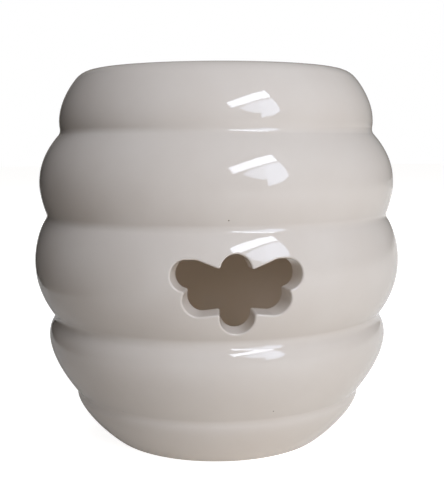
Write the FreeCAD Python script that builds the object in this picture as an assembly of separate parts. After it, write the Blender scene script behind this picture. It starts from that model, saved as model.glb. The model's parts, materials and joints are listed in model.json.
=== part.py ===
"""Beehive aroma oil burner, one slip-cast and glazed piece.

Millimetres, Z up. The origin is under the centre of the foot, the bee faces -Y
and the tealight goes in at the back, on the +Y side.
"""
import FreeCAD, Part
import math
import os

from FreeCAD import Matrix, Vector

# Tiers of the hive, from the foot up: height of each, and radius of the crease under it
FOOT_TIER_HEIGHT = 14.6
LOWER_TIER_HEIGHT = 22.7
BEE_TIER_HEIGHT = 29.8
UPPER_TIER_HEIGHT = 24.8
RIM_TIER_HEIGHT = 18.1
FOOT_RADIUS = 32.8
LOWER_CREASE_RADIUS = 43.4
BEE_CREASE_RADIUS = 49.1
UPPER_CREASE_RADIUS = 51.1
RIM_CREASE_RADIUS = 46.6

# Curve of each tier: outward lean in degrees and pull as a share of the chord, at its top and its crease
FOOT_TIER_CURVE = (19.5, 0.20, -53.1, 0.31)
LOWER_TIER_CURVE = (47.2, 0.35, -39.1, 0.32)
BEE_TIER_CURVE = (43.2, 0.15, -39.2, 0.54)
UPPER_TIER_CURVE = (43.3, 0.39, -22.3, 0.42)
RIM_TIER_CURVE = (39.1, 0.33, -15.3, 0.34)
CREASE_ROUND = 2.0

# Rim and oil dish
RIM_RADIUS = 43.5
RIM_ROUND = 7.1
LIP_ROUND = 4.0
LIP_DRAFT = 20.0
DISH_DEPTH = 16.0
DISH_WALL = 5.0
DISH_FLOOR_SPREAD = 0.6
DISH_SIDE_PULL = 0.45
CEILING_SPREAD = 0.7

# Tealight chamber and foot
WALL = 6.0
CREASE_WALL = 4.0
POCKET_DROP = 11.0
POCKET_ROUND = 4.0
FLOOR_THICKNESS = 3.5
FLOOR_CORNER_ROUND = 3.0
FOOT_RECESS = 1.0
FOOT_RING_WIDTH = 4.5
FOOT_EDGE_ROUND = 1.0

# Bee cut-out, drawn flat in front of its tier and cut towards the axis
BEE_DRAWING_DISTANCE = 55.0
BEE_RISE = 15.7
HEAD_RADIUS = 4.0
HEAD_SIDE = -0.4
HEAD_UP = 4.5
THORAX_RADIUS = 4.4
THORAX_UP = -1.7
UPPER_WING_RADIUS = 4.05
UPPER_WING_REACH = 13.65
UPPER_WING_BROAD = 2.3
UPPER_WING_UP = 3.1
LOWER_WING_RADIUS = 4.35
LOWER_WING_REACH = 9.75
LOWER_WING_UP = -3.0
ABDOMEN_RADIUS = 4.5
ABDOMEN_UP = -7.9
BEE_NOTCH_ROUND = 0.6
BEE_DRAFT = 0.01
BEE_EDGE_ROUND = 0.5
BEE_INNER_EDGE_ROUND = 0.4

# Tealight opening at the back
OPENING_WIDTH = 50.0
OPENING_HEIGHT = 17.5
OPENING_SHOULDER_ROUND = 9.0
OPENING_SILL_ROUND = 2.5
OPENING_EDGE_ROUND = 1.2

FULL_TURN = 360.0
AXIS = Vector(0, 0, 1)
FRONT = Vector(0, -1, 0)
BACK = Vector(0, 1, 0)
OVERSHOOT = 5.0
HALVINGS = 50
CORNER_ANGLE = 10.0
CUT_HALF_ANGLE = 45.0

# Heights that follow from the sizes above
LOWER_CREASE_Z = FOOT_TIER_HEIGHT
BEE_CREASE_Z = LOWER_CREASE_Z + LOWER_TIER_HEIGHT
UPPER_CREASE_Z = BEE_CREASE_Z + BEE_TIER_HEIGHT
RIM_CREASE_Z = UPPER_CREASE_Z + UPPER_TIER_HEIGHT
HEIGHT = RIM_CREASE_Z + RIM_TIER_HEIGHT
FLOOR_Z = FOOT_RECESS + FLOOR_THICKNESS
DISH_FLOOR_Z = HEIGHT - DISH_DEPTH
BEE_Z = BEE_CREASE_Z + BEE_RISE


def section_point(radius, height):
    """Point of the section, at a radius and a height."""
    return Vector(radius, 0, height)


def at_angle(angle):
    """Unit vector in the section plane, at an angle in degrees above the horizontal."""
    turn = math.radians(angle)
    return Vector(math.cos(turn), 0, math.sin(turn))


def downward(lean):
    """Downward direction in the section that leans outwards by an angle in degrees."""
    return at_angle(lean - 90.0)


def arc(centre, radius, start, end):
    """Arc in the section plane between two angles in degrees."""
    return Part.Arc(*[centre + at_angle(angle) * radius for angle in (start, (start + end) / 2, end)])


def bezier(*poles):
    """Smooth curve with the given poles."""
    curve = Part.BezierCurve()
    curve.setPoles(list(poles))
    return curve


def line(start, end):
    """Straight piece of the section."""
    return Part.LineSegment(start, end)


def rim_arc():
    """Outer rounding of the rim, from its crest to the top of the rim tier."""
    centre = section_point(RIM_RADIUS - RIM_ROUND, HEIGHT - RIM_ROUND)
    return arc(centre, RIM_ROUND, 90.0, RIM_TIER_CURVE[0])


def lip_arc():
    """Inner rounding of the rim, from the bowl's edge up to the crest."""
    centre = section_point(RIM_RADIUS - RIM_ROUND, HEIGHT - LIP_ROUND)
    return arc(centre, LIP_ROUND, 180.0 - LIP_DRAFT, 90.0)


def bowl_curve():
    """Bowl of the oil dish, from its middle out to the lip."""
    middle = section_point(0, DISH_FLOOR_Z)
    edge = lip_arc().StartPoint
    level = section_point(DISH_FLOOR_SPREAD * edge.x, DISH_FLOOR_Z)
    steep = edge + downward(-LIP_DRAFT) * (DISH_SIDE_PULL * (edge.z - middle.z))
    return bezier(middle, level, steep, edge)


def tier_curve(top, seat, shape):
    """Bulging curve of a tier from its top to its crease."""
    top_lean, top_pull, seat_lean, seat_pull = shape
    chord = (seat - top).Length
    after_top = top + downward(top_lean) * (top_pull * chord)
    before_seat = seat - downward(seat_lean) * (seat_pull * chord)
    return bezier(top, after_top, before_seat, seat)


def tier_curves():
    """Outside curves of the five tiers, from the rim down, meeting at sharp creases."""
    rim_top = rim_arc().EndPoint
    rim_crease = section_point(RIM_CREASE_RADIUS, RIM_CREASE_Z)
    upper_crease = section_point(UPPER_CREASE_RADIUS, UPPER_CREASE_Z)
    bee_crease = section_point(BEE_CREASE_RADIUS, BEE_CREASE_Z)
    lower_crease = section_point(LOWER_CREASE_RADIUS, LOWER_CREASE_Z)
    foot = section_point(FOOT_RADIUS, 0)
    return [
        tier_curve(rim_top, rim_crease, RIM_TIER_CURVE),
        tier_curve(rim_crease, upper_crease, UPPER_TIER_CURVE),
        tier_curve(upper_crease, bee_crease, BEE_TIER_CURVE),
        tier_curve(bee_crease, lower_crease, LOWER_TIER_CURVE),
        tier_curve(lower_crease, foot, FOOT_TIER_CURVE),
    ]


def trimmed(curve, start, end):
    """Part of a smooth curve between two parameters."""
    piece = bezier(*curve.getPoles())
    piece.segment(start, end)
    return piece


def softened(curves, radius):
    """Run of curves with a rounding of about the given radius in place of each crease."""
    run = []
    above = curves[0]
    for below in curves[1:]:
        turn = above.tangent(1.0)[0].getAngle(below.tangent(0.0)[0])
        setback = radius * math.tan(turn / 2)
        handle = radius * 4 / 3 * math.tan(turn / 4)
        above = trimmed(above, 0.0, above.parameterAtDistance(-setback, 1.0))
        below = trimmed(below, below.parameterAtDistance(setback, 0.0), 1.0)
        start, end = above.EndPoint, below.StartPoint
        leaving = start + above.tangent(1.0)[0] * handle
        arriving = end - below.tangent(0.0)[0] * handle
        run += [above, bezier(start, leaving, arriving, end)]
        above = below
    return run + [above]


def parameter_at_height(curve, height):
    """Parameter of a section curve at a height, found by halving."""
    low, high = curve.FirstParameter, curve.LastParameter
    if curve.value(low).z > curve.value(high).z:
        low, high = high, low
    for _ in range(HALVINGS):
        middle = (low + high) / 2
        if curve.value(middle).z < height:
            low = middle
        else:
            high = middle
    return low


def radius_at_height(curve, height):
    """Radius of a section curve at a height."""
    return curve.value(parameter_at_height(curve, height)).x


def revolved(curves):
    """Solid of revolution from a closed run of section curves."""
    wire = Part.Wire([curve.toShape() for curve in curves])
    return Part.Face(wire).revolve(Vector(0, 0, 0), AXIS, FULL_TURN)


def ring(solid, point):
    """Circular edge of a turned solid that passes through a point of its section."""
    round_edges = [edge for edge in solid.Edges if not edge.Degenerated and len(edge.Vertexes) == 1]
    return min(round_edges, key=lambda edge: edge.Vertexes[0].Point.distanceToPoint(point))


def hive():
    """Outside of the burner with its dish and foot, still solid inside."""
    ring_inner = FOOT_RADIUS - FOOT_RING_WIDTH
    base = [
        section_point(FOOT_RADIUS, 0),
        section_point(ring_inner, 0),
        section_point(ring_inner - FOOT_RECESS, FOOT_RECESS),
        section_point(0, FOOT_RECESS),
        section_point(0, DISH_FLOOR_Z),
    ]
    section = [bowl_curve(), lip_arc(), rim_arc()] + softened(tier_curves(), CREASE_ROUND)
    section += [line(start, end) for start, end in zip(base, base[1:])]
    solid = revolved(section)
    return solid.makeFillet(FOOT_EDGE_ROUND, [ring(solid, base[0])])


def smooth_run(points, leaving):
    """Smooth run of curves through points, which leaves the first point in a direction."""
    ways = [leaving]
    ways += [(after - before).normalize() for before, after in zip(points, points[2:])]
    ways.append((points[-1] - points[-2]).normalize())
    run = []
    for start, end, away, along in zip(points, points[1:], ways, ways[1:]):
        handle = (end - start).Length / 3
        run.append(bezier(start, start + away * handle, end - along * handle, end))
    return run


def chamber():
    """Space for the tealight: a smooth barrel inside the tiers, up to the underside of the dish."""
    bee_tier, _, foot_tier = tier_curves()[2:]
    pocket_z = HEIGHT - POCKET_DROP
    pocket_inner = lip_arc().StartPoint.x
    crest = arc(section_point(pocket_inner + POCKET_ROUND, pocket_z), POCKET_ROUND, 180.0, 0.0)

    centre = section_point(0, DISH_FLOOR_Z - DISH_WALL)
    level = section_point(CEILING_SPREAD * pocket_inner, centre.z)
    steep = section_point(pocket_inner, (pocket_z + centre.z) / 2)
    ceiling = bezier(centre, level, steep, crest.StartPoint)

    corner = section_point(radius_at_height(foot_tier, FLOOR_Z) - WALL, FLOOR_Z)
    wall = smooth_run([
        crest.EndPoint,
        section_point(RIM_CREASE_RADIUS - CREASE_WALL, RIM_CREASE_Z),
        section_point(UPPER_CREASE_RADIUS - CREASE_WALL, UPPER_CREASE_Z),
        section_point(radius_at_height(bee_tier, BEE_Z) - WALL, BEE_Z),
        section_point(BEE_CREASE_RADIUS - CREASE_WALL, BEE_CREASE_Z),
        section_point(LOWER_CREASE_RADIUS - CREASE_WALL, LOWER_CREASE_Z),
        corner,
    ], downward(0))
    floor = section_point(0, FLOOR_Z)
    solid = revolved([ceiling, crest] + wall + [line(corner, floor), line(floor, centre)])
    return solid.makeFillet(FLOOR_CORNER_ROUND, [ring(solid, corner)])


def hull(first, first_radius, second, second_radius):
    """Face round two circles of the bee's drawing and the tangents between them."""
    run = second - first
    heading = math.degrees(math.atan2(run.z, run.x))
    spread = math.degrees(math.acos((first_radius - second_radius) / run.Length))
    near = arc(first, first_radius, heading + spread, heading - spread + FULL_TURN)
    far = arc(second, second_radius, heading - spread, heading + spread)
    edges = [near, line(near.EndPoint, far.StartPoint), far, line(far.EndPoint, near.StartPoint)]
    return Part.Face(Part.Wire([edge.toShape() for edge in edges]))


def bee_drawing():
    """Face of the bee: head, thorax, abdomen and two pairs of wings, with rounded notches."""
    thorax = section_point(0, BEE_Z + THORAX_UP)
    head = section_point(HEAD_SIDE, BEE_Z + HEAD_UP)
    abdomen = section_point(0, BEE_Z + ABDOMEN_UP)
    parts = [
        hull(head, HEAD_RADIUS, thorax, HEAD_RADIUS),
        hull(abdomen, ABDOMEN_RADIUS, thorax, THORAX_RADIUS),
    ]
    for side in (-1, 1):
        tip = section_point(side * UPPER_WING_REACH, BEE_Z + UPPER_WING_UP)
        broad = section_point(side * (UPPER_WING_REACH - UPPER_WING_BROAD), BEE_Z + UPPER_WING_UP)
        low = section_point(side * LOWER_WING_REACH, BEE_Z + LOWER_WING_UP)
        parts.append(hull(broad, UPPER_WING_RADIUS, tip, UPPER_WING_RADIUS))
        parts.append(hull(thorax, THORAX_RADIUS, broad, UPPER_WING_RADIUS))
        parts.append(hull(thorax, THORAX_RADIUS, low, LOWER_WING_RADIUS))
    drawing = parts[0].multiFuse(parts[1:]).removeSplitter()
    prism = drawing.extrude(BACK)
    prism = prism.makeFillet(BEE_NOTCH_ROUND, notches(prism))
    return min(prism.Faces, key=lambda face: face.CenterOfMass.y)


def notches(prism):
    """Edges along a prism at which its sides meet in a corner."""
    found = []
    for edge in prism.Edges:
        if abs(edge.tangentAt(edge.FirstParameter).y) < 0.5:
            continue
        sides = prism.ancestorsOfType(edge, Part.Face)
        point = edge.Vertexes[0].Point
        facings = [side.normalAt(*side.Surface.parameter(point)) for side in sides]
        if facings[0].getAngle(facings[1]) > math.radians(CORNER_ANGLE):
            found.append(edge)
    return found


def bee_cutter():
    """Core that cuts the bee, narrowing towards the axis and a little in height."""
    outline = bee_drawing().OuterWire
    bee_tier = tier_curves()[2]
    outside = radius_at_height(bee_tier, BEE_Z)
    ends = []
    for distance in (outside + OVERSHOOT, outside - WALL - 2 * OVERSHOOT):
        tall = 1 + BEE_DRAFT * (distance - BEE_DRAWING_DISTANCE)
        placing = Matrix()
        placing.A11 = distance / BEE_DRAWING_DISTANCE
        placing.A24 = -distance
        placing.A33 = tall
        placing.A34 = BEE_Z * (1 - tall)
        ends.append(outline.transformGeometry(placing))
    return Part.makeLoft(ends, True, True)


def opening_cutter():
    """Core that cuts the tealight opening at the back, level with the chamber's floor."""
    sill_x = OPENING_WIDTH / 2 - OPENING_SILL_ROUND
    sill_z = FLOOR_Z + OPENING_SILL_ROUND
    shoulder_x = OPENING_WIDTH / 2 - OPENING_SHOULDER_ROUND
    shoulder_z = FLOOR_Z + OPENING_HEIGHT - OPENING_SHOULDER_ROUND
    corners = [
        arc(section_point(sill_x, sill_z), OPENING_SILL_ROUND, -90.0, 0.0),
        arc(section_point(shoulder_x, shoulder_z), OPENING_SHOULDER_ROUND, 0.0, 90.0),
        arc(section_point(-shoulder_x, shoulder_z), OPENING_SHOULDER_ROUND, 90.0, 180.0),
        arc(section_point(-sill_x, sill_z), OPENING_SILL_ROUND, 180.0, 270.0),
    ]
    outline = []
    for corner, after in zip(corners, corners[1:] + corners[:1]):
        outline += [corner, line(corner.EndPoint, after.StartPoint)]
    face = Part.Face(Part.Wire([edge.toShape() for edge in outline]))
    return face.extrude(BACK * (BEE_CREASE_RADIUS + OVERSHOOT))


def cut_edges(body, facing, low, high, depth):
    """Edges of a cut through the wall between two heights, at a depth under the outside."""
    found = []
    for edge in body.Edges:
        if edge.Degenerated:
            continue
        point = edge.valueAt((edge.FirstParameter + edge.LastParameter) / 2)
        flat = Vector(point.x, point.y, 0)
        if not low < point.z < high or flat.getAngle(facing) > math.radians(CUT_HALF_ANGLE):
            continue
        tier = [curve for curve in tier_curves() if curve.EndPoint.z <= point.z][0]
        inset = radius_at_height(tier, point.z) - flat.Length
        if abs(inset - depth) < WALL / 4:
            found.append(edge)
    return found


def burner():
    """The whole burner, with the edges of its cuts rounded as the glaze leaves them."""
    body = hive().cut(chamber()).cut(bee_cutter())
    bee_zone = (FRONT, BEE_CREASE_Z + CREASE_ROUND, UPPER_CREASE_Z - CREASE_ROUND)
    body = body.makeFillet(BEE_EDGE_ROUND, cut_edges(body, *bee_zone, 0))
    body = body.makeFillet(BEE_INNER_EDGE_ROUND, cut_edges(body, *bee_zone, WALL))
    body = body.cut(opening_cutter()).removeSplitter()
    opening_zone = (BACK, FLOOR_Z - FLOOR_THICKNESS / 2, FLOOR_Z + OPENING_HEIGHT + OVERSHOOT)
    return body.makeFillet(OPENING_EDGE_ROUND, cut_edges(body, *opening_zone, 0))


def main():
    """Build the burner and write it out."""
    body = burner()
    print("burner_body", body.isValid(), len(body.Solids), body.Volume, body.BoundBox)
    os.makedirs("parts", exist_ok=True)
    body.exportStep("parts/burner_body.step")


main()
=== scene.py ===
"""Beehive aroma oil burner: one slip-cast earthenware piece under a gloss cream glaze.

The burner is rebuilt here as one dense, evenly meshed skin, so that the glaze reflects cleanly.
Sizes are in millimetres, heights are above the table, and the bee faces -Y.
"""
from __future__ import annotations

import json
import logging
import math
from collections.abc import Callable, Sequence
from dataclasses import dataclass, field
from enum import Enum

import bpy
import numpy as np
from mathutils import Matrix, Vector
from mathutils.geometry import delaunay_2d_cdt

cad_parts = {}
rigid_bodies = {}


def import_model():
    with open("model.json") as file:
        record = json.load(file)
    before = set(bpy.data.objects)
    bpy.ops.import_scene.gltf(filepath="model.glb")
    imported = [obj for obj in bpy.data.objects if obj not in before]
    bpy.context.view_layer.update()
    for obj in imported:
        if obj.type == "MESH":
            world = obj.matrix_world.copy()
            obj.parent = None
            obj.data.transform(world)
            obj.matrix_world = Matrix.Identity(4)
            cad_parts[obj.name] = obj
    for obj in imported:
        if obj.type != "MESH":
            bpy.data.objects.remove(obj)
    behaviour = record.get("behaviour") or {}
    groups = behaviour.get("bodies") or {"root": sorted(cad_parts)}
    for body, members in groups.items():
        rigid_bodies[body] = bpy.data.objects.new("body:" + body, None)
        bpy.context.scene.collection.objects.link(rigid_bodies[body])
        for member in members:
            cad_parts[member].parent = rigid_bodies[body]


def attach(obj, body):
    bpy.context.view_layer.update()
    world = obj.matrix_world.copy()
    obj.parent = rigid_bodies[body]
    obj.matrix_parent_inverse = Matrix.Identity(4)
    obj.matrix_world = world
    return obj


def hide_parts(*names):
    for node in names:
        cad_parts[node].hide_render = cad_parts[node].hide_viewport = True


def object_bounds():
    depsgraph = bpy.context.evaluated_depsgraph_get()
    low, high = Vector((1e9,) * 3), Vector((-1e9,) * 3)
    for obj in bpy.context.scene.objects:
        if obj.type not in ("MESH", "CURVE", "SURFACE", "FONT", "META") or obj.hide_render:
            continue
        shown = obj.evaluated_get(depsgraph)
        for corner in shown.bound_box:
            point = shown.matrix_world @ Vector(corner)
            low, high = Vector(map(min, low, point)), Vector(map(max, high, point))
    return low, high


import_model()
CAD_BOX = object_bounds()

Paint = Callable[[bpy.types.NodeTree], bpy.types.Node]

MM = 0.001
FULL_TURN = 2 * math.pi
BODY_NODE = "burner_body"
BEE_TIER = 2
# The wall is the stretch of a section beyond this share of its widest radius that isn't level
WALL_SHARE = 0.55
WALL_UPRIGHT = 0.02
# Steps for measuring along a curve, for following its turns, and for finding a height on it
CURVE_STEPS = 400
TURN_STEPS = 60
HEIGHT_STEPS = 2000
# Handle of a cubic that follows an arc, over its radius and the tangent of a quarter of its turn
ARC_HANDLE = 4 / 3
# As shares of a step: rows closer than this are one row, and a row this near the axis is one point
SAME_ROW = 0.02
POLE_REACH = 0.01
# In millimetres: the step for taking a slope, and how close two points of a fill are one point
NUDGE = 1e-4
MERGE_REACH = 1e-6
# Height in millimetres under which all corners of a bare face of the foot ring lie
ON_TABLE = 0.05
LOG = logging.getLogger("burner")


class Side(Enum):
    """Which way round the burner a cut faces, as the angle from the front."""

    FRONT = 0.0
    BACK = math.pi

    def turned(self, angles: np.ndarray) -> np.ndarray:
        """Angles counted from this side, up to half a turn each way."""
        return np.mod(angles - self.value + math.pi, FULL_TURN) - math.pi


def travelled(points: np.ndarray) -> np.ndarray:
    """Distance along a line of points, at each of them."""
    return np.concatenate([[0], np.cumsum(np.linalg.norm(np.diff(points, axis=0), axis=1))])


def unit(vectors: np.ndarray) -> np.ndarray:
    """Vectors of the last axis, brought to unit length."""
    return vectors / np.linalg.norm(vectors, axis=-1, keepdims=True)


@dataclass(frozen=True)
class Bezier:
    """Cubic curve in the section plane, as radius and height pairs, with parameters from 0 to 1."""

    poles: tuple[Sequence[float], ...]

    def points(self, at: np.ndarray) -> np.ndarray:
        """Points of the curve.

        Args:
            at: Parameters.

        Returns:
            One row of radius and height for each parameter.
        """
        p = np.array(self.poles)
        t = at[:, None]
        s = 1 - t
        return s ** 3 * p[0] + 3 * s * s * t * p[1] + 3 * s * t * t * p[2] + t ** 3 * p[3]

    def tangents(self, at: np.ndarray) -> np.ndarray:
        """Directions of travel along the curve.

        Args:
            at: Parameters.

        Returns:
            One unit row for each parameter.
        """
        runs = np.diff(np.array(self.poles), axis=0)
        t = at[:, None]
        s = 1 - t
        return unit(s * s * runs[0] + 2 * s * t * runs[1] + t * t * runs[2])

    def ways(self) -> np.ndarray:
        """Unit directions of travel at the curve's start and end."""
        return self.tangents(np.array([0.0, 1.0]))

    def part(self, start: float, end: float) -> Bezier:
        """Stretch of the curve between two parameters, as a curve of its own."""
        return Bezier(tuple(self.blossom([start] * (3 - ends) + [end] * ends) for ends in range(4)))

    def blossom(self, parameters: Sequence[float]) -> np.ndarray:
        """Point that the poles give when each halving uses a parameter of its own.

        Args:
            parameters: One parameter for each of the three halvings.

        Returns:
            Radius and height of the point.
        """
        rows = np.array(self.poles)
        for t in parameters:
            rows = rows[:-1] * (1 - t) + rows[1:] * t
        return rows[0]

    def parameter_at(self, length: float) -> float:
        """Parameter at a distance along the curve.

        Args:
            length: The distance, counted from the curve's end where it is negative.

        Returns:
            The parameter.
        """
        steps = np.linspace(0, 1, CURVE_STEPS)
        along = travelled(self.points(steps))
        return float(np.interp(length if length >= 0 else along[-1] + length, along, steps))

    def sampled(self, step: float, turn: float) -> np.ndarray:
        """Parameters that follow the curve closely.

        Args:
            step: Longest run between two points, in millimetres.
            turn: Largest change of direction between two points, in radians.

        Returns:
            Parameters from 0 to 1, evenly spaced.
        """
        steps = np.linspace(0, 1, TURN_STEPS)
        length, along = travelled(self.points(steps))[-1], self.tangents(steps)
        cosines = np.clip((along[1:] * along[:-1]).sum(axis=1), -1, 1)
        count = max(1, math.ceil(length / step), math.ceil(np.arccos(cosines).sum() / turn))
        return np.linspace(0, 1, count + 1)


def heading(angle: float) -> np.ndarray:
    """Unit direction in the section plane, at an angle in degrees above the horizontal."""
    return np.array([math.cos(math.radians(angle)), math.sin(math.radians(angle))])


def straight(start: Sequence[float], end: Sequence[float]) -> Bezier:
    """Straight run of the section between two points."""
    first, last = np.array(start, float), np.array(end, float)
    return Bezier(tuple(first + (last - first) * share for share in (0, 1 / 3, 2 / 3, 1)))


def arc(centre: Sequence[float], radius: float, start: float, end: float) -> Bezier:
    """Arc of at most a quarter turn.

    Args:
        centre: Radius and height of its centre.
        radius: Its radius.
        start: Angle at which it starts, in degrees.
        end: Angle at which it ends, in degrees.

    Returns:
        The curve.
    """
    handle = radius * ARC_HANDLE * math.tan(math.radians(end - start) / 4)
    first, last = (np.array(centre) + heading(angle) * radius for angle in (start, end))
    return Bezier((first, first + heading(start + 90) * handle, last - heading(end + 90) * handle, last))


def softened(curves: Sequence[Bezier], radii: Sequence[float]) -> list[Bezier]:
    """Round the corners where curves meet.

    Args:
        curves: Curves in order, each starting where the last one ends.
        radii: Radius at each meeting, one fewer than the curves, 0 for none.

    Returns:
        The shortened curves with a rounding between them.
    """
    run: list[Bezier] = []
    above = curves[0]
    for below, radius in zip(curves[1:], radii):
        if radius:
            turn = math.acos(max(-1.0, min(1.0, float(above.ways()[1] @ below.ways()[0]))))
            setback, handle = radius * math.tan(turn / 2), radius * ARC_HANDLE * math.tan(turn / 4)
            above = above.part(0, above.parameter_at(-setback))
            below = below.part(below.parameter_at(setback), 1)
            start, end = above.poles[-1], below.poles[0]
            near, far = start + above.ways()[1] * handle, end - below.ways()[0] * handle
            run += [above, Bezier((start, near, far, end))]
        else:
            run.append(above)
        above = below
    return run + [above]


def smooth_run(points: Sequence[Sequence[float]], leaving: Sequence[float]) -> list[Bezier]:
    """Smooth run of curves through points.

    Args:
        points: Radius and height of each point.
        leaving: Direction in which the run leaves the first point.

    Returns:
        One curve for each pair of neighbouring points.
    """
    spots = np.array(points, float)
    ways = unit(np.vstack([leaving, spots[2:] - spots[:-2], spots[-1] - spots[-2]]))
    run = []
    for start, end, away, along in zip(spots, spots[1:], ways, ways[1:]):
        handle = float(np.linalg.norm(end - start)) / 3
        run.append(Bezier((start, start + away * handle, end - along * handle, end)))
    return run


@dataclass(frozen=True)
class Tier:
    """One bulging ring of the hive: height, crease under it, and how its curve leaves and lands."""

    height: float
    crease_radius: float
    top_lean: float
    top_pull: float
    seat_lean: float
    seat_pull: float

    def curve(self, top: Sequence[float], seat_height: float) -> Bezier:
        """Curve of the tier's face from its top down to its crease.

        Args:
            top: Radius and height of the crease above, or of the rim's end.
            seat_height: Height of the crease under the tier.

        Returns:
            The curve.
        """
        start, end = np.array(top, float), np.array([self.crease_radius, seat_height])
        chord = float(np.linalg.norm(end - start))
        after = start + heading(self.top_lean - 90) * (self.top_pull * chord)
        before = end - heading(self.seat_lean - 90) * (self.seat_pull * chord)
        return Bezier((start, after, before, end))


@dataclass
class Hive:
    """Turned form of the burner: tiers, rim, dish, foot, and the chamber inside."""

    tiers: tuple[Tier, ...] = (
        Tier(18.1, 46.6, 39.1, 0.33, -15.3, 0.34),
        Tier(24.8, 51.1, 43.3, 0.39, -22.3, 0.42),
        Tier(29.8, 49.1, 43.2, 0.15, -39.2, 0.54),
        Tier(22.7, 43.4, 47.2, 0.35, -39.1, 0.32),
        Tier(14.6, 32.8, 19.5, 0.20, -53.1, 0.31),
    )
    crease_round: float = 2.0
    rim_radius: float = 43.5
    rim_round: float = 7.1
    lip_round: float = 4.0
    lip_draft: float = 20.0
    dish_depth: float = 16.0
    dish_wall: float = 5.0
    dish_floor_spread: float = 0.6
    dish_side_pull: float = 0.45
    ceiling_spread: float = 0.7
    wall: float = 6.0
    crease_wall: float = 4.0
    bee_rise: float = 15.7
    pocket_drop: float = 11.0
    pocket_round: float = 4.0
    floor_thickness: float = 3.5
    floor_corner_round: float = 3.0
    foot_recess: float = 1.0
    foot_ring_width: float = 4.5
    foot_edge_round: float = 1.0

    @property
    def height(self) -> float:
        """Height of the whole burner."""
        return sum(tier.height for tier in self.tiers)

    @property
    def floor_z(self) -> float:
        """Height of the chamber's floor."""
        return self.foot_recess + self.floor_thickness

    @property
    def bee_z(self) -> float:
        """Height of the middle of the bee's drawing."""
        return self.crease_z(BEE_TIER) + self.bee_rise

    def crease_z(self, index: int) -> float:
        """Height of the crease under a tier, counted from the rim."""
        return self.height - sum(tier.height for tier in self.tiers[: index + 1])

    def tier_curves(self) -> list[Bezier]:
        """Faces of the tiers.

        Returns:
            Their curves from the rim down, meeting at sharp creases.
        """
        curves = []
        top = self.rim_arc().poles[-1]
        for index, tier in enumerate(self.tiers):
            curves.append(tier.curve(top, self.crease_z(index)))
            top = curves[-1].poles[-1]
        return curves

    def rim_arc(self) -> Bezier:
        """Outer rounding of the rim."""
        centre = (self.rim_radius - self.rim_round, self.height - self.rim_round)
        return arc(centre, self.rim_round, 90, self.tiers[0].top_lean)

    def lip_arc(self) -> Bezier:
        """Inner rounding of the rim."""
        centre = (self.rim_radius - self.rim_round, self.height - self.lip_round)
        return arc(centre, self.lip_round, 180 - self.lip_draft, 90)

    def bowl(self) -> Bezier:
        """Bowl of the oil dish.

        Returns:
            Its curve from the middle out to the lip.
        """
        bottom = self.height - self.dish_depth
        edge = self.lip_arc().poles[0]
        steep = edge + heading(-self.lip_draft - 90) * (self.dish_side_pull * (edge[1] - bottom))
        return Bezier(((0, bottom), (self.dish_floor_spread * edge[0], bottom), steep, edge))

    def outside(self) -> list[Bezier]:
        """Section of the outer skin.

        Returns:
            Its curves from the middle of the dish over the rim to under the foot.
        """
        foot = self.tiers[-1].crease_radius
        ring_inner = foot - self.foot_ring_width
        recess = (ring_inner - self.foot_recess, self.foot_recess)
        curves = [self.bowl(), self.lip_arc(), self.rim_arc()] + self.tier_curves()
        curves += [straight((foot, 0), (ring_inner, 0)), straight((ring_inner, 0), recess)]
        curves.append(straight(recess, (0, self.foot_recess)))
        creases = [self.crease_round] * (len(self.tiers) - 1)
        soft_edge = self.foot_edge_round / 2
        return softened(curves, [0, 0, 0, *creases, self.foot_edge_round, soft_edge, soft_edge])

    def inside(self) -> list[Bezier]:
        """Section of the chamber.

        Returns:
            Its curves from the middle of the ceiling down the wall to the floor.
        """
        tiers = self.tier_curves()
        pocket_z = self.height - self.pocket_drop
        inner, half = self.lip_arc().poles[0][0], self.pocket_round
        crest = [arc((inner + half, pocket_z), half, start, start - 90) for start in (180, 90)]
        middle = self.height - self.dish_depth - self.dish_wall
        steep = (inner, (pocket_z + middle) / 2)
        ceiling = Bezier(((0, middle), (self.ceiling_spread * inner, middle), steep, (inner, pocket_z)))
        creases = [(tier.crease_radius - self.crease_wall, self.crease_z(index))
                   for index, tier in enumerate(self.tiers)]
        bee = (radius_at(tiers[BEE_TIER], self.bee_z) - self.wall, self.bee_z)
        corner = (radius_at(tiers[-1], self.floor_z) - self.wall, self.floor_z)
        spots = [(inner + 2 * half, pocket_z), *creases[:BEE_TIER], bee, *creases[BEE_TIER:-1], corner]
        wall = smooth_run(spots, (0, -1))
        floor = straight(corner, (0, self.floor_z))
        return softened([ceiling, *crest, *wall, floor], [0] * (len(wall) + 2) + [self.floor_corner_round])


def radius_at(curve: Bezier, height: float) -> float:
    """Radius of a rising or falling section curve at a height.

    Args:
        curve: The curve.
        height: Height on it.

    Returns:
        The radius.
    """
    steps = np.linspace(0, 1, HEIGHT_STEPS)
    heights = curve.points(steps)[:, 1]
    order = np.argsort(heights)
    at = np.interp([height], heights[order], steps[order])
    return float(curve.points(at)[0, 0])


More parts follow.
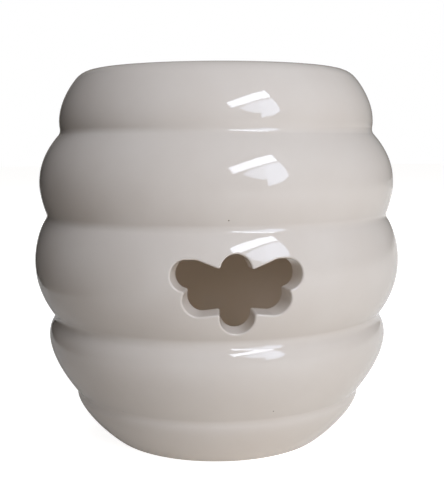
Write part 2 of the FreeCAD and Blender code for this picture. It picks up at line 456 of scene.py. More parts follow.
@dataclass
class Skin:
    """Turned surface with even rows and columns.

    Angles run from the front, where the bee is, towards +X. Travel is the distance along the section.
    """

    curves: list[Bezier]
    columns: int
    step: float
    turn: float
    facing: int
    rows: np.ndarray = field(init=False)
    fine_points: np.ndarray = field(init=False)
    fine_travel: np.ndarray = field(init=False)
    fine_normals: np.ndarray = field(init=False)

    def __post_init__(self) -> None:
        """Sample the section finely, and choose the rows of the mesh."""
        steps = np.linspace(0, 1, CURVE_STEPS)
        tangents = np.vstack([curve.tangents(steps) for curve in self.curves])
        self.fine_points = np.vstack([curve.points(steps) for curve in self.curves])
        self.fine_travel = travelled(self.fine_points)
        self.fine_normals = np.column_stack([-tangents[:, 1], tangents[:, 0]]) * self.facing
        wanted = [curve.points(curve.sampled(self.step, self.turn)) for curve in self.curves]
        travels = self.travel_of(np.vstack(wanted))
        self.rows = travels[np.concatenate([[True], np.diff(travels) > self.step * SAME_ROW])]

    def travel_of(self, points: np.ndarray) -> np.ndarray:
        """Travel of the section's nearest point to each given radius and height."""
        gaps = np.linalg.norm(points[:, None, :] - self.fine_points[None, :, :], axis=2)
        return self.fine_travel[gaps.argmin(axis=1)]

    def wall_travel(self, heights: np.ndarray, low: float, high: float) -> np.ndarray:
        """Travel at which the outer stretch of the section reaches each height.

        Args:
            heights: Heights on the wall.
            low: Lowest height of the stretch.
            high: Highest height of the stretch.

        Returns:
            One travel for each height.
        """
        radii, levels = self.fine_points.T
        upright = np.abs(self.fine_normals[:, 0]) > WALL_UPRIGHT
        used = (levels >= low) & (levels <= high) & (radii > radii.max() * WALL_SHARE) & upright
        order = np.argsort(levels[used], kind="stable")
        return np.interp(heights, levels[used][order], self.fine_travel[used][order])

    def section_at(self, travel: np.ndarray) -> tuple[np.ndarray, np.ndarray]:
        """Section at given travels.

        Args:
            travel: Travels along the section.

        Returns:
            Radius and height, and the unit normal, one row each.
        """
        points, normals = (
            np.column_stack([np.interp(travel, self.fine_travel, column) for column in table.T])
            for table in (self.fine_points, self.fine_normals)
        )
        return points, unit(normals)

    def place(self, angles: np.ndarray, travel: np.ndarray) -> tuple[np.ndarray, np.ndarray]:
        """Points in space and their normals.

        Args:
            angles: Angle of each point from the front.
            travel: Travel of each point along the section.

        Returns:
            Points and unit normals, one row each.
        """
        section, normals = self.section_at(travel)
        return swept(section, angles), swept(normals, angles)


def swept(section: np.ndarray, angles: np.ndarray) -> np.ndarray:
    """Radius and height rows turned to their angles from the front."""
    return np.column_stack([section[:, 0] * np.sin(angles), -section[:, 0] * np.cos(angles), section[:, 1]])


@dataclass(frozen=True)
class Outline:
    """Closed outline of a cut on its flat drawing, which can be offset without crossing itself."""

    core: np.ndarray
    away: np.ndarray
    inset: float

    def ring(self, offset: float) -> np.ndarray:
        """Points at a distance outside the outline, into the wall."""
        return self.core + self.away * (offset - self.inset)


@dataclass(frozen=True)
class Capsule:
    """Two circles of the bee's drawing and the skin stretched round them."""

    first: tuple[float, float]
    first_radius: float
    second: tuple[float, float]
    second_radius: float

    def distance(self, points: np.ndarray) -> np.ndarray:
        """Signed distance to the capsule.

        Args:
            points: Points of the drawing.

        Returns:
            One distance for each point, negative inside.
        """
        start, end = np.array(self.first), np.array(self.second)
        run = end - start
        length = float(np.linalg.norm(run))
        ahead = run / length
        sideways = np.array([-ahead[1], ahead[0]])
        local_x, local_y = (points - start) @ ahead, np.abs((points - start) @ sideways)
        slope = (self.first_radius - self.second_radius) / length
        lean = math.sqrt(1 - slope * slope)
        reach = local_x * lean + local_y * -slope
        near = np.hypot(local_x, local_y) - self.first_radius
        far = np.hypot(local_x - length, local_y) - self.second_radius
        side = local_x * slope + local_y * lean - self.first_radius
        return np.where(reach < 0, near, np.where(reach > length * lean, far, side))

    def facing(self, points: np.ndarray) -> np.ndarray:
        """Unit outward normals of the capsule's outline at points near it."""
        slopes = [self.distance(points + step) - self.distance(points - step) for step in np.eye(2) * NUDGE]
        return unit(np.array(slopes).T)


@dataclass
class BeeCut:
    """Bee cut through the front of the wide tier, narrowing towards the axis."""

    hive: Hive
    drawing_distance: float = 55.0
    head_radius: float = 4.0
    head_side: float = -0.4
    head_up: float = 4.5
    thorax_radius: float = 4.4
    thorax_up: float = -1.7
    upper_wing_radius: float = 4.05
    upper_wing_reach: float = 13.65
    upper_wing_broad: float = 2.3
    upper_wing_up: float = 3.1
    lower_wing_radius: float = 4.35
    lower_wing_reach: float = 9.75
    lower_wing_up: float = -3.0
    abdomen_radius: float = 4.5
    abdomen_up: float = -7.9
    notch_round: float = 0.6
    draft: float = 0.01
    flare_side: float = 0.03
    flare_down: float = 0.05
    flare_from: float = -0.5
    flare_run: float = 4.0
    outer_round: float = 0.5
    inner_round: float = 0.4
    point_step: float = 0.35
    trace_up: float = 1.0
    trace_steps: int = 7200
    halvings: int = 40
    landings: int = 3
    side: Side = Side.FRONT

    def capsules(self) -> list[Capsule]:
        """Head, abdomen and wings.

        Returns:
            Their shapes, about the drawing's middle.
        """
        thorax, head = (0.0, self.thorax_up), (self.head_side, self.head_up)
        shapes = [
            Capsule(head, self.head_radius, thorax, self.head_radius),
            Capsule((0.0, self.abdomen_up), self.abdomen_radius, thorax, self.thorax_radius),
        ]
        for sign in (-1, 1):
            tip = (sign * self.upper_wing_reach, self.upper_wing_up)
            broad = (sign * (self.upper_wing_reach - self.upper_wing_broad), self.upper_wing_up)
            low = (sign * self.lower_wing_reach, self.lower_wing_up)
            shapes.append(Capsule(broad, self.upper_wing_radius, tip, self.upper_wing_radius))
            shapes.append(Capsule(thorax, self.thorax_radius, broad, self.upper_wing_radius))
            shapes.append(Capsule(thorax, self.thorax_radius, low, self.lower_wing_radius))
        return shapes

    def grown_runs(self) -> list[tuple[np.ndarray, np.ndarray]]:
        """Line round the bee's shapes, grown by the notch rounding.

        Returns:
            For each shape's run of the line, evenly spaced points and their outward normals.
        """
        shapes = self.capsules()
        middle = np.array([0.0, self.trace_up])

        def distances(points: np.ndarray) -> np.ndarray:
            """Distance to each grown shape, one row a shape."""
            return np.array([shape.distance(points) for shape in shapes]) - self.notch_round

        bearings = np.linspace(-math.pi / 2, 1.5 * math.pi, self.trace_steps, endpoint=False)
        rays = np.column_stack([np.cos(bearings), np.sin(bearings)])
        low, high = np.zeros(len(bearings)), np.full(len(bearings), 2.0 * self.upper_wing_reach)
        for _ in range(self.halvings):
            half = (low + high) / 2
            inside = distances(middle + rays * half[:, None]).min(axis=0) < 0
            low, high = np.where(inside, half, low), np.where(inside, high, half)
        points = middle + rays * low[:, None]
        owners = distances(points).argmin(axis=0)
        breaks = np.flatnonzero(owners != np.roll(owners, 1))
        points, owners = np.roll(points, -breaks[0], 0), np.roll(owners, -breaks[0])
        stops = [*(breaks - breaks[0]), len(points)]
        runs = []
        for start, stop in zip(stops, stops[1:]):
            run = points[start:stop]
            along = travelled(run)
            even = np.linspace(0, along[-1], max(2, math.ceil(along[-1] / self.point_step) + 1))
            spaced = np.column_stack([np.interp(even, along, run[:, k]) for k in (0, 1)])
            runs.append((spaced, shapes[owners[start]].facing(spaced)))
        return runs

    def outline(self) -> Outline:
        """Outline of the bee with rounded notches.

        The bee's shapes are first grown by the notch rounding. Drawing that line back in again
        rounds each notch and leaves everything else as it was.

        Returns:
            The outline, evenly spaced along the grown line.
        """
        runs = self.grown_runs()
        core, away = [], []
        for (spots, ways), (next_spots, next_ways) in zip(runs, runs[1:] + runs[:1]):
            core.append(spots)
            away.append(ways)
            before, beyond = ways[-1], next_ways[0]
            turn = math.atan2(before[0] * beyond[1] - before[1] * beyond[0], before @ beyond)
            start = math.atan2(before[1], before[0])
            steps = math.ceil(abs(turn) * self.notch_round / self.point_step)
            for share in np.arange(1, steps) / max(steps, 1):
                core.append((spots[-1] + next_spots[0])[None, :] / 2)
                away.append(heading(math.degrees(start + turn * share))[None, :])
        centre = np.array([0.0, self.hive.bee_z])
        return Outline(np.vstack(core) + centre, np.vstack(away), self.notch_round)

    def locate(self, skin: Skin, flat: np.ndarray) -> tuple[np.ndarray, np.ndarray]:
        """Where points of the drawing land on a skin.

        The knife leans a little along the bee's lower edge, so the cut flares out there.

        Args:
            skin: Skin that the cut goes through.
            flat: Points of the drawing.

        Returns:
            Angle and travel of each point.
        """
        up = flat[:, 1] - self.hive.bee_z
        share = np.clip((self.flare_from - up) / self.flare_run, 0, 1) * (skin.facing > 0)
        flare = share * share * (3 - 2 * share)
        angles = np.arctan2(flat[:, 0] * (1 + self.flare_side * flare), self.drawing_distance)
        up = up * (1 + self.flare_down * flare)
        heights = self.hive.bee_z + up
        low, high = self.hive.crease_z(BEE_TIER), self.hive.crease_z(BEE_TIER - 1)
        for _ in range(self.landings):
            travel = skin.wall_travel(heights, low, high)
            depth = skin.section_at(travel)[0][:, 0] * np.cos(angles)
            heights = self.hive.bee_z + up * (1 + self.draft * (depth - self.drawing_distance))
        return angles, skin.wall_travel(heights, low, high)


@dataclass
class OpeningCut:
    """Low opening at the back, level with the chamber's floor, for the tealight."""

    hive: Hive
    width: float = 50.0
    height: float = 17.5
    shoulder_round: float = 9.0
    sill_round: float = 2.5
    outer_round: float = 1.2
    inner_round: float = 0.8
    point_step: float = 0.7
    side: Side = Side.BACK

    def outline(self) -> Outline:
        """Outline of the opening.

        Returns:
            The outline, with its sill's and shoulders' rounds.
        """
        floor, half = self.hive.floor_z, self.width / 2
        top = floor + self.height
        corners = (
            (half - self.sill_round, floor + self.sill_round, self.sill_round, -90),
            (half - self.shoulder_round, top - self.shoulder_round, self.shoulder_round, 0),
            (self.shoulder_round - half, top - self.shoulder_round, self.shoulder_round, 90),
            (self.sill_round - half, floor + self.sill_round, self.sill_round, 180),
        )
        core, away = [], []
        for corner, following in zip(corners, corners[1:] + corners[:1]):
            x, z, radius, start = corner
            count = math.ceil(radius * math.pi / 2 / self.point_step)
            facings = np.array([heading(start + 90 * k / count) for k in range(count + 1)])
            core.append(np.array([x, z]) + facings * radius)
            away.append(facings)
            end = np.array(following[:2]) + heading(following[3]) * following[2]
            run = end - core[-1][-1]
            count = max(1, math.ceil(float(np.linalg.norm(run)) / self.point_step))
            between = [core[-1][-1] + run * k / count for k in range(1, count)]
            if between:
                core.append(np.array(between))
                away.append(np.repeat(facings[-1:], len(between), axis=0))
        return Outline(np.vstack(core), np.vstack(away), 0.0)

    def locate(self, skin: Skin, flat: np.ndarray) -> tuple[np.ndarray, np.ndarray]:
        """Where points of the drawing land on a skin, seen straight from the back.

        Args:
            skin: Skin that the cut goes through.
            flat: Points of the drawing; under the floor's level they go on over the floor.

        Returns:
            Angle and travel of each point.
        """
        floor = self.hive.floor_z if skin.facing < 0 else 0.0
        over = np.maximum(floor - flat[:, 1], 0)
        travel = skin.wall_travel(np.maximum(flat[:, 1], floor), floor, self.hive.crease_z(BEE_TIER))
        radii = skin.section_at(travel)[0][:, 0]
        deep = np.sqrt(radii ** 2 - flat[:, 0] ** 2) - over
        angles = np.mod(np.arctan2(flat[:, 0], -deep), FULL_TURN)
        on_floor = over > 0
        if on_floor.any():
            reach = np.hypot(flat[on_floor, 0], deep[on_floor])
            travel[on_floor] = skin.travel_of(np.column_stack([reach, np.full(len(reach), floor)]))
        return angles, travel


Cut = BeeCut | OpeningCut


@dataclass
class Mesher:
    """Collects points, normals and faces of one closed mesh."""

    points: list[np.ndarray] = field(default_factory=list)
    normals: list[np.ndarray] = field(default_factory=list)
    faces: list[tuple[int, ...]] = field(default_factory=list)
    count: int = 0

    def add(self, points: np.ndarray, normals: np.ndarray) -> np.ndarray:
        """Add points.

        Args:
            points: Points in millimetres.
            normals: Their normals.

        Returns:
            Their numbers in the mesh.
        """
        self.points.append(points)
        self.normals.append(normals)
        numbers = np.arange(self.count, self.count + len(points))
        self.count += len(points)
        return numbers

    def strip(self, upper: np.ndarray, lower: np.ndarray) -> None:
        """Join two closed rings of equally many points with four-sided faces."""
        for a, b, c, d in zip(upper, np.roll(upper, -1), np.roll(lower, -1), lower):
            self.faces.append((int(a), int(b), int(c), int(d)))

    def build(self, name: str) -> bpy.types.Mesh:
        """Mesh in metres, with every face turned the way its normals point.

        Args:
            name: Name of the mesh.

        Returns:
            The new mesh, smooth, with the collected normals.
        """
        points, normals = np.vstack(self.points), np.vstack(self.normals)
        turned = []
        for face in self.faces:
            corners = points[list(face)]
            facing = np.cross(corners[1] - corners[0], corners[2] - corners[0])
            turned.append(face if facing @ normals[list(face)].sum(axis=0) > 0 else face[::-1])
        mesh = bpy.data.meshes.new(name)
        mesh.from_pydata((points * MM).tolist(), [], turned)
        mesh.shade_smooth()
        mesh.normals_split_custom_set_from_vertices(normals.tolist())
        return mesh


@dataclass
class Window:
    """Stretch of a skin's grid that is meshed afresh round a cut."""

    rows: tuple[int, int]
    columns: tuple[int, int]

    def holds(self, row: int, column: int, count: int) -> bool:
        """Whether a face lies in the window.

        Args:
            row: Row at which the face starts.
            column: Column at which it starts.
            count: Number of columns all the way round.

        Returns:
            True where it does.
        """
        first, last = self.columns
        inside = any(first <= column + turn < last for turn in (-count, 0))
        return inside and self.rows[0] <= row < self.rows[1]


@dataclass
class BurnerBody:
    """The whole burner as one closed skin, with its bee and its tealight opening."""

    hive: Hive = field(default_factory=Hive)
    outer_columns: int = 360
    inner_columns: int = 180
    outer_step: float = 1.15
    inner_step: float = 2.2
    curve_turn: float = math.radians(9)
    edge_steps: int = 6
    wall_steps: int = 4
    window_margin: float = 2.5
    ring_clearance: float = 0.6

    def build(self) -> None:
        """Make the burner's mesh, dress it and stand it in for the solid."""
        mesher = Mesher()
        outside = Skin(self.hive.outside(), self.outer_columns, self.outer_step, self.curve_turn, 1)
        inside = Skin(self.hive.inside(), self.inner_columns, self.inner_step, self.curve_turn, -1)
        cuts: list[Cut] = [BeeCut(self.hive), OpeningCut(self.hive)]
        layers = []
        for skin in (outside, inside):
            windows = [self.window(skin, cut) for cut in cuts]
            layers.append((skin, self.grid(mesher, skin, windows), windows))
        for index, cut in enumerate(cuts):
            rings = [mesher.add(*ring) for ring in self.cut_rings(cut, outside, inside)]
            for upper, lower in zip(rings, rings[1:]):
                mesher.strip(upper, lower)
            edges = ((rings[0], cut.outer_round), (rings[-1], cut.inner_round))
            for (skin, grid, windows), (ring, radius) in zip(layers, edges):
                self.fill(mesher, skin, grid, windows[index], cut, ring, radius)
        body = bpy.data.objects.new("burner_glazed_body", mesher.build("burner_glazed_body"))
        bpy.context.scene.collection.objects.link(body)
        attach(body, "root")
        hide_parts(BODY_NODE)
        self.dress(body.data)
        LOG.info("burner body: %d points, %d faces", mesher.count, len(mesher.faces))

    def dress(self, mesh: bpy.types.Mesh) -> None:
        """Glaze the burner and leave the foot ring bare.

        Args:
            mesh: Mesh of the burner.
        """
        for cover in (CreamGlaze(), BareBisque()):
            mesh.materials.append(painted(bpy.data.materials.new(cover.name), cover.paint))
        places = np.zeros(len(mesh.vertices) * 3)
        mesh.vertices.foreach_get("co", places)
        on_table = places[2::3] < ON_TABLE * MM
        for polygon in mesh.polygons:
            polygon.material_index = int(all(on_table[number] for number in polygon.vertices))

    def grid(self, mesher: Mesher, skin: Skin, windows: Sequence[Window]) -> np.ndarray:
        """Add a skin's points and its faces outside the windows.

        Args:
            mesher: Mesh to add to.
            skin: Skin to lay out.
            windows: Stretches to leave open.

        Returns:
            Numbers of the points, one row for each row of the skin.
        """
        angles = np.arange(skin.columns) * FULL_TURN / skin.columns
        table = []
        for travel in skin.rows:
            points, normals = skin.place(angles, np.full(skin.columns, travel))
            if np.hypot(*points[0, :2]) < skin.step * POLE_REACH:
                table.append(np.repeat(mesher.add(points[:1], normals[:1]), skin.columns))
            else:
                table.append(mesher.add(points, normals))
        table = np.array(table)
        for row in range(len(table) - 1):
            for column in range(skin.columns):
                if any(window.holds(row, column, skin.columns) for window in windows):
                    continue
                after = (column + 1) % skin.columns
                corners = (*table[row, [column, after]], *table[row + 1, [after, column]])
                mesher.faces.append(tuple(dict.fromkeys(int(corner) for corner in corners)))
        return table

    def window(self, skin: Skin, cut: Cut) -> Window:
        """Window round a cut, with a margin of untouched skin.

        Args:
            skin: Skin that the cut goes through.
            cut: The cut.

        Returns:
            The window.
        """
        angles, travel = cut.locate(skin, cut.outline().ring(self.window_margin))
        pitch = FULL_TURN / skin.columns
        middle = round(cut.side.value / pitch)
        reach = math.ceil(np.abs(cut.side.turned(angles)).max() / pitch)
        first = int(np.searchsorted(skin.rows, travel.min())) - 1
        last = int(np.searchsorted(skin.rows, travel.max()))
        return Window((first, last), (middle - reach, middle + reach))

    def cut_rings(self, cut: Cut, outside: Skin, inside: Skin) -> list[tuple[np.ndarray, np.ndarray]]:
        """Rings of points down the wall of a cut, from the outer skin to the inner one.

        Args:
            cut: The cut.
            outside: Outer skin.
            inside: Inner skin.

        Returns:
            Points and normals of each ring.
        """
        outline = cut.outline()
        edges = [skin.place(*cut.locate(skin, outline.ring(0)))[0] for skin in (outside, inside)]
        inward = unit(edges[1] - edges[0])
        bends = np.linspace(0, math.pi / 2, self.edge_steps + 1)
        rings, skin_normals = [], []
        for skin, radius, way in ((outside, cut.outer_round, inward), (inside, cut.inner_round, -inward)):
            bend_rings = []
            for bend in bends:
                flat = outline.ring(radius * (1 - math.sin(bend)))
                points, normals = skin.place(*cut.locate(skin, flat))
                bend_rings.append(points + way * radius * (1 - math.cos(bend)))
                if bend == 0:
                    skin_normals.append(normals)
            rings.append(bend_rings)
        outer, inner = rings[0], rings[1][::-1]
        shares = np.arange(1, self.wall_steps) / self.wall_steps
        between = [outer[-1] + (inner[0] - outer[-1]) * share for share in shares]
        stack = np.array(outer + between + inner)
        around = np.roll(stack, -1, axis=1) - np.roll(stack, 1, axis=1)
        normals = unit(np.cross(np.gradient(stack, axis=0), around))
        normals *= np.sign((normals[0] * skin_normals[0]).sum())
        normals[0], normals[-1] = skin_normals
        return list(zip(stack, normals))

    def fill(self, mesher: Mesher, skin: Skin, grid: np.ndarray, window: Window, cut: Cut,
             ring: np.ndarray, radius: float) -> None:
        """Mesh the skin between a window's border and the ring of a cut.

        Args:
            mesher: Mesh to add to.
            skin: Skin that holds the window.
            grid: Numbers of the skin's points.
            window: Stretch to fill.
            cut: Cut in the window.
            ring: Numbers of the ring's points.
            radius: Rounding of the cut's edge on this skin.
        """
        scale = float(skin.fine_points[:, 0].max())
        angles, travel = cut.locate(skin, cut.outline().ring(radius))
        hole = np.column_stack([cut.side.turned(angles) * scale, travel])
        (top, bottom), (first, last) = window.rows, window.columns
        columns = np.arange(first, last + 1)
        across = (columns * FULL_TURN / skin.columns - cut.side.value) * scale
        flat = np.stack(np.meshgrid(across, skin.rows[top:bottom + 1]), axis=-1).reshape(-1, 2)
        numbers = grid[top:bottom + 1, columns % skin.columns].ravel()
        order = np.arange(len(flat)).reshape(-1, len(columns))
        border = np.concatenate([order[0, :-1], order[:-1, -1], order[-1, :0:-1], order[:0:-1, 0]])
        gap = np.linalg.norm(flat[:, None, :] - hole[None, :, :], axis=2).min(axis=1)
        kept = ~within(flat, hole) & (gap > self.ring_clearance)
        kept[border] = True
        edge = (np.cumsum(kept) - 1)[border]
        loop = np.arange(len(ring)) + kept.sum()
        links = [link for line in (edge, loop) for link in zip(line.tolist(), np.roll(line, -1).tolist())]
        spots = np.vstack([flat[kept], hole])
        numbers = np.concatenate([numbers[kept], ring])
        vectors = [Vector(spot) for spot in spots.tolist()]
        _, _, faces, sources, _, _ = delaunay_2d_cdt(vectors, links, [], 0, MERGE_REACH)
        for face in faces:
            corners = [sources[corner][0] for corner in face]
            if not within(spots[corners].mean(axis=0)[None, :], hole)[0]:
                mesher.faces.append(tuple(int(numbers[corner]) for corner in corners))


def within(points: np.ndarray, polygon: np.ndarray) -> np.ndarray:
    """Whether each point lies inside a closed polygon.

    Args:
        points: Points, one row each.
        polygon: Corners of the polygon, one row each.

    Returns:
        True or False for each point.
    """
    x, y = points[:, 0][:, None], points[:, 1][:, None]
    x0, y0 = polygon.T
    x1, y1 = np.roll(polygon, -1, axis=0).T
    spans = (y0 > y) != (y1 > y)
    with np.errstate(divide="ignore", invalid="ignore"):
        crossing = x0 + (y - y0) * (x1 - x0) / (y1 - y0)
    return (spans & (x < crossing)).sum(axis=1) % 2 == 1


def linear(code: str) -> tuple[float, float, float, float]:
    """Linear colour of an sRGB hex value such as #D9D2C4."""
    parts = [int(code[k:k + 2], 16) / 255 for k in (1, 3, 5)]
    return tuple(c / 12.92 if c <= 0.04045 else ((c + 0.055) / 1.055) ** 2.4 for c in parts) + (1.0,)


def add_node(tree: bpy.types.NodeTree, kind: str, settings: dict | None = None,
             links: dict | None = None) -> bpy.types.Node:
    """Add a shader node with its settings, socket values and links.

    Args:
        tree: Node tree to add to.
        kind: Type name of the node.
        settings: Node properties by name, and socket values by socket name or number.
        links: Output sockets by the name or number of the input that they feed.

    Returns:
        The new node.
    """
    node = tree.nodes.new(kind)
    for name, value in (settings or {}).items():
        if isinstance(name, str) and hasattr(node, name):
            setattr(node, name, value)
        else:
            node.inputs[name].default_value = value
    for name, source in (links or {}).items():
        tree.links.new(source, node.inputs[name])
    return node


def painted(block: bpy.types.Material | bpy.types.World, paint: Paint,
            output: str = "ShaderNodeOutputMaterial") -> bpy.types.Material | bpy.types.World:
    """Give a material or world the shader that a function lays out.

    Args:
        block: Material or world.
        paint: Function that fills an empty node tree and returns the last shader.
        output: Type name of the output node.

    Returns:
        The same material or world.
    """
    block.use_nodes = True
    block.node_tree.nodes.clear()
    shader = paint(block.node_tree)
    add_node(block.node_tree, output, {}, {"Surface": shader.outputs[0]})
    return block


def stage_sheet(name: str, cover: str, corners: Sequence[Sequence[float]], paint: Paint) -> bpy.types.Object:
    """Stand a flat sheet beside the burner, as scenery.

    Args:
        name: Name of the sheet.
        cover: Name of its material.
        corners: Corners in metres.
        paint: Function that lays out its shader.

    Returns:
        The sheet.
    """
    mesh = bpy.data.meshes.new(name)
    mesh.from_pydata(corners, [], [tuple(range(len(corners)))])
    mesh.materials.append(painted(bpy.data.materials.new(cover), paint))
    sheet = bpy.data.objects.new(name, mesh)
    bpy.context.scene.collection.objects.link(sheet)
    return sheet


@dataclass(frozen=True)
class CreamGlaze:
    """Gloss transparent glaze on off-white earthenware, dipped and fired.

    The glaze lies thick and lets the clay's faint mottling through, so the tone drifts a little, the
    surface flows in long soft waves, and a few iron specks show.
    """

    name: str = "cream_gloss_glaze"
    tone: str = "#DED3C6"
    thick_tone: str = "#D7CABC"
    speck_tone: str = "#6B5644"
    roughness: float = 0.03
    ior: float = 1.52
    mottle_size: float = 14.0
    mottle_detail: float = 3.0
    flow_detail: float = 1.0
    wave_size: float = 22.0
    wave_height: float = 0.05
    peel_size: float = 2.4
    peel_height: float = 0.0025
    speck_spacing: float = 11.0
    speck_size: float = 0.22
    speck_core: float = 0.6

    def paint(self, tree: bpy.types.NodeTree) -> bpy.types.Node:
        """Lay out the glaze.

        Args:
            tree: Empty node tree.

        Returns:
            The last shader.
        """
        place = add_node(tree, "ShaderNodeTexCoord").outputs["Object"]
        patterns = (
            (self.mottle_size, self.mottle_detail),
            (self.wave_size, self.flow_detail),
            (self.peel_size, self.flow_detail),
        )
        mottle, waves, peel = (
            add_node(tree, "ShaderNodeTexNoise", {"Scale": 1 / (size * MM), "Detail": detail},
                     {"Vector": place}).outputs[0]
            for size, detail in patterns
        )
        tones = {"data_type": "RGBA", 6: linear(self.tone), 7: linear(self.thick_tone)}
        drift = add_node(tree, "ShaderNodeMix", tones, {0: mottle}).outputs[2]
        scale = {"Scale": 1 / (self.speck_spacing * MM)}
        cells = add_node(tree, "ShaderNodeTexVoronoi", scale, {"Vector": place})
        edge = self.speck_size / self.speck_spacing
        fade = {"interpolation_type": "SMOOTHSTEP", 1: edge * self.speck_core, 2: edge, 3: 1.0, 4: 0.0}
        speck = add_node(tree, "ShaderNodeMapRange", fade, {0: cells.outputs["Distance"]}).outputs[0]
        colour = add_node(tree, "ShaderNodeMix", {"data_type": "RGBA", 7: linear(self.speck_tone)},
                          {0: speck, 6: drift}).outputs[2]
        slow = add_node(tree, "ShaderNodeBump", {"Distance": self.wave_height * MM}, {"Height": waves})
        relief = add_node(tree, "ShaderNodeBump", {"Distance": self.peel_height * MM},
                          {"Height": peel, "Normal": slow.outputs[0]})
        return add_node(tree, "ShaderNodeBsdfPrincipled", {"Roughness": self.roughness, "IOR": self.ior},
                        {"Base Color": colour, "Normal": relief.outputs[0]})


@dataclass(frozen=True)
class BareBisque:
    """Unglazed fired earthenware of the foot ring, wiped clean of glaze: dull, chalky and fine-grained."""

    name: str = "bare_bisque"
    tone: str = "#D9CFC0"
    grain_tone: str = "#C6B9A6"
    roughness: float = 0.85
    # The clay's real grain is finer, and is drawn this coarse so that it shows
    grain_size: float = 0.8
    grain_detail: float = 4.0
    grain_height: float = 0.02

    def paint(self, tree: bpy.types.NodeTree) -> bpy.types.Node:
        """Lay out the bare clay.

        Args:
            tree: Empty node tree.

        Returns:
            The last shader.
        """
        place = add_node(tree, "ShaderNodeTexCoord").outputs["Object"]
        pattern = {"Scale": 1 / (self.grain_size * MM), "Detail": self.grain_detail}
        grain = add_node(tree, "ShaderNodeTexNoise", pattern, {"Vector": place}).outputs[0]
        tones = {"data_type": "RGBA", 6: linear(self.tone), 7: linear(self.grain_tone)}
        tone = add_node(tree, "ShaderNodeMix", tones, {0: grain}).outputs[2]
        relief = add_node(tree, "ShaderNodeBump", {"Distance": self.grain_height * MM}, {"Height": grain})
        return add_node(tree, "ShaderNodeBsdfPrincipled", {"Roughness": self.roughness},
                        {"Base Color": tone, "Normal": relief.outputs[0]})


def way_to(bearing: float, elevation: float) -> Vector:
    """Direction at a bearing from -Y towards +X and an elevation, both in degrees."""
    turn, rise = math.radians(bearing), math.radians(elevation)
    return Vector((math.sin(turn) * math.cos(rise), -math.cos(turn) * math.cos(rise), math.sin(rise)))


@dataclass(frozen=True)
class Softbox:
    """Square studio lamp, aimed at the middle of the burner and not mirrored in its glaze."""

    name: str
    bearing: float
    elevation: float
    power: float
    tone: str
    side: float = 900.0
    distance: float = 1100.0

    def build(self, target: Vector, camera_bearing: float) -> None:
        """Hang the lamp.

        Args:
            target: Point it is aimed at, in metres.
            camera_bearing: Bearing of the camera from the burner, in degrees from -Y towards +X.
        """
        lamp = bpy.data.lights.new(self.name, "AREA")
        lamp.shape = "SQUARE"
        lamp.size = self.side * MM
        lamp.energy = self.power
        lamp.color = linear(self.tone)[:3]
        way = way_to(camera_bearing + self.bearing, self.elevation)
        holder = bpy.data.objects.new(self.name, lamp)
        holder.location = target + way * self.distance * MM
        holder.rotation_euler = way.to_track_quat("Z", "Y").to_euler()
        holder.visible_camera = False
        holder.visible_glossy = False
        bpy.context.scene.collection.objects.link(holder)


@dataclass(frozen=True)
class Pane:
    """Flat patch of bright sky in the window, with its corners as bearings and elevations."""

    name: str
    strength: float
    tone: str
    corners: tuple[tuple[float, float], ...]
    distance: float = 900.0

    def build(self, target: Vector, camera_bearing: float) -> None:
        """Hang the pane.

        Args:
            target: Point from which its corners are seen, in metres.
            camera_bearing: Bearing of the camera from the burner, in degrees from -Y towards +X.
        """
        ways = [way_to(camera_bearing + bearing, rise) for bearing, rise in self.corners]
        light = {"Color": linear(self.tone), "Strength": self.strength}
        pane = stage_sheet(self.name, self.name, [target + way * self.distance * MM for way in ways],
                           lambda tree: add_node(tree, "ShaderNodeEmission", light))
        pane.visible_camera = False


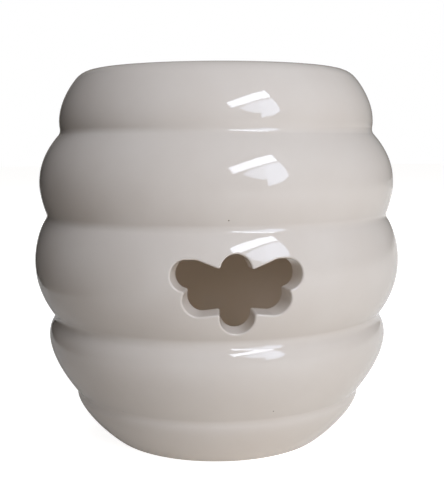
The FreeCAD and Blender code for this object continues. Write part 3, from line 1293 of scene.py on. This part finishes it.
@dataclass
class Studio:
    """White sweep, lamps and the camera at the photograph's place. Bearings count from the camera."""

    camera_place: tuple[float, float, float] = (-25.5, -265.2, 89.14)
    camera_heading: float = 5.843
    camera_pitch: float = 7.15
    camera_roll: float = 0.258
    lens: float = 62.35
    sensor: float = 36.0
    clip_start: float = 0.01
    floor_size: float = 6000.0
    floor_tone: str = "#C8C4BE"
    floor_glow: float = 0.9
    # Painted light: to all but the camera the paper glows, dim on the left and brighter on the right across
    # floor_fade, standing in for the window's light on the table
    floor_painted_glow: tuple[float, float] = (0.03, 0.34)
    floor_fade: tuple[float, float] = (-50.0, 10.0)
    room_bearing: float = 55.0
    room_elevation: float = -10.0
    room_dark: tuple[str, float] = ("#FFF1E2", 0.10)
    room_light: tuple[str, float] = ("#FFFFFF", 0.22)
    flag_place: tuple[float, float, float] = (-150.0, -160.0, 300.0)
    flag_height: float = 300.0
    flag_tone: str = "#1A1816"
    lamps: tuple[Softbox, ...] = (
        Softbox("right_fill", 70, 20, 0.12, "#F0FAFF"),
        Softbox("ceiling_fill", 5, 60, 3.0, "#DDEBFF"),
        Softbox("left_fill", -135, 52, 2.4, "#F0F3FF"),
        Softbox("front_fill", -10, 13, 0.8, "#F6F4FF", 180),
        Softbox("back_fill", 175, 30, 5.0, "#F6FAFF"),
        Softbox("chamber_fill", 45, -45, 0.0062, "#FFF8F0", 20, 48),
    )
    panes: tuple[Pane, ...] = (
        Pane("upper_light", 11.0, "#EAF1FF",
             ((8, 33), (20, 41), (31, 46), (43, 48.5), (43.5, 39.6), (32, 36.5), (22, 31.6), (10.5, 24))),
        Pane("left_light", 5.0, "#DCE9FF",
             ((16, 23), (22, 29.6), (29, 33.6), (30.5, 17), (28, 14), (21.5, 18))),
        Pane("right_light", 6.2, "#DCE9FF",
             ((29.6, 33.8), (37, 36.6), (43.5, 37.8), (44.5, 30), (44.6, 18), (40, 11), (30.5, 5))),
    )

    @property
    def camera_bearing(self) -> float:
        """Bearing of the camera from the burner, in degrees from -Y towards +X."""
        return math.degrees(math.atan2(self.camera_place[0], -self.camera_place[1]))

    def build(self) -> None:
        """Set up camera, floor, room and lights."""
        scene = bpy.context.scene
        scene.view_settings.view_transform = "Standard"
        self.build_camera()
        self.build_floor()
        scene.world = painted(bpy.data.worlds.new("studio"), self.paint_room, "ShaderNodeOutputWorld")
        low, high = CAD_BOX
        for light in (*self.lamps, *self.panes):
            light.build((Vector(low) + Vector(high)) / 2, self.camera_bearing)
        self.build_flag()

    def build_camera(self) -> None:
        """Put the camera where the photograph was taken from."""
        angles = (self.camera_heading, self.camera_pitch, self.camera_roll)
        turn, dip, roll = (math.radians(angle) for angle in angles)
        ahead = Vector((math.sin(turn) * math.cos(dip), math.cos(turn) * math.cos(dip), -math.sin(dip)))
        level = Vector((math.cos(turn), -math.sin(turn), 0))
        over = level.cross(ahead)
        right, up = (level * math.cos(roll) - over * math.sin(roll),
                     over * math.cos(roll) + level * math.sin(roll))
        lens = bpy.data.cameras.new("photo_camera")
        lens.sensor_fit = "VERTICAL"
        lens.sensor_height = self.sensor
        lens.lens = self.lens
        lens.clip_start = self.clip_start
        holder = bpy.data.objects.new("photo_camera", lens)
        pose = Matrix((right, up, -ahead)).transposed().to_4x4()
        holder.matrix_world = Matrix.Translation(Vector(self.camera_place) * MM) @ pose
        bpy.context.scene.collection.objects.link(holder)
        bpy.context.scene.camera = holder

    def build_floor(self) -> None:
        """Lay the white floor, which keeps the burner's shadow."""
        half = self.floor_size / 2 * MM
        corners = [(-half, -half, 0), (half, -half, 0), (half, half, 0), (-half, half, 0)]
        stage_sheet("floor", "white_paper", corners, self.paint_floor)

    def paint_floor(self, tree: bpy.types.NodeTree) -> bpy.types.Node:
        """Lay out the floor's paper: white to the camera, and to all else a painted glow that is dim on the
        left and brighter on the right, as if the window's light fell there.

        Args:
            tree: Empty node tree.

        Returns:
            The last shader.
        """
        (left, right), (dim, bright) = self.floor_fade, self.floor_painted_glow
        seen = add_node(tree, "ShaderNodeLightPath").outputs["Is Camera Ray"]
        place = add_node(tree, "ShaderNodeTexCoord").outputs["Object"]
        across = add_node(tree, "ShaderNodeSeparateXYZ", {}, {0: place}).outputs["X"]
        # Painted light: the paper's glow for all but the camera, brighter on the right where the window's
        # light would fall
        fade = {1: left * MM, 2: right * MM, 3: dim, 4: bright}
        painted_glow = add_node(tree, "ShaderNodeMapRange", fade, {0: across}).outputs[0]
        amount = add_node(tree, "ShaderNodeMapRange", {4: self.floor_glow}, {0: seen, 3: painted_glow}).outputs[0]
        paper = add_node(tree, "ShaderNodeBsdfDiffuse", {"Color": linear(self.floor_tone)}).outputs[0]
        glow = add_node(tree, "ShaderNodeEmission", {}, {"Strength": amount}).outputs[0]
        return add_node(tree, "ShaderNodeAddShader", {}, {0: paper, 1: glow})

    def build_flag(self) -> None:
        """Stand a black flag on the left, out of the picture, which keeps that side dark."""
        x, near, far = (part * MM for part in self.flag_place)
        top = self.flag_height * MM
        corners = [(x, near, 0), (x, far, 0), (x, far, top), (x, near, top)]
        felt = {"Color": linear(self.flag_tone)}
        flag = stage_sheet("black_flag", "black_felt", corners,
                           lambda tree: add_node(tree, "ShaderNodeBsdfDiffuse", felt))
        flag.visible_camera = False

    def paint_room(self, tree: bpy.types.NodeTree) -> bpy.types.Node:
        """Lay out a room that is lighter on the window's side, and white to the camera.

        Args:
            tree: Empty node tree.

        Returns:
            The last shader.
        """
        seen = add_node(tree, "ShaderNodeLightPath").outputs["Is Camera Ray"]
        bright = way_to(self.camera_bearing + self.room_bearing, self.room_elevation)
        way = add_node(tree, "ShaderNodeTexCoord").outputs["Generated"]
        facing = add_node(tree, "ShaderNodeVectorMath", {"operation": "DOT_PRODUCT", 1: bright}, {0: way})
        share = add_node(tree, "ShaderNodeMapRange", {1: -1.0}, {0: facing.outputs["Value"]}).outputs[0]
        dark, light = ([part * strength for part in linear(tone)]
                       for tone, strength in (self.room_dark, self.room_light))
        tones = {"data_type": "RGBA", 6: dark, 7: light}
        colour = add_node(tree, "ShaderNodeMix", tones, {0: share}).outputs[2]
        room = add_node(tree, "ShaderNodeBackground", {}, {"Color": colour}).outputs[0]
        white = add_node(tree, "ShaderNodeBackground", {"Color": linear("#FFFFFF")}).outputs[0]
        return add_node(tree, "ShaderNodeMixShader", {}, {0: seen, 1: room, 2: white})


def main() -> None:
    """Build the burner and light it."""
    logging.basicConfig(level=logging.INFO, format="%(name)s: %(message)s")
    BurnerBody().build()
    Studio().build()


if __name__ == "__main__":
    main()
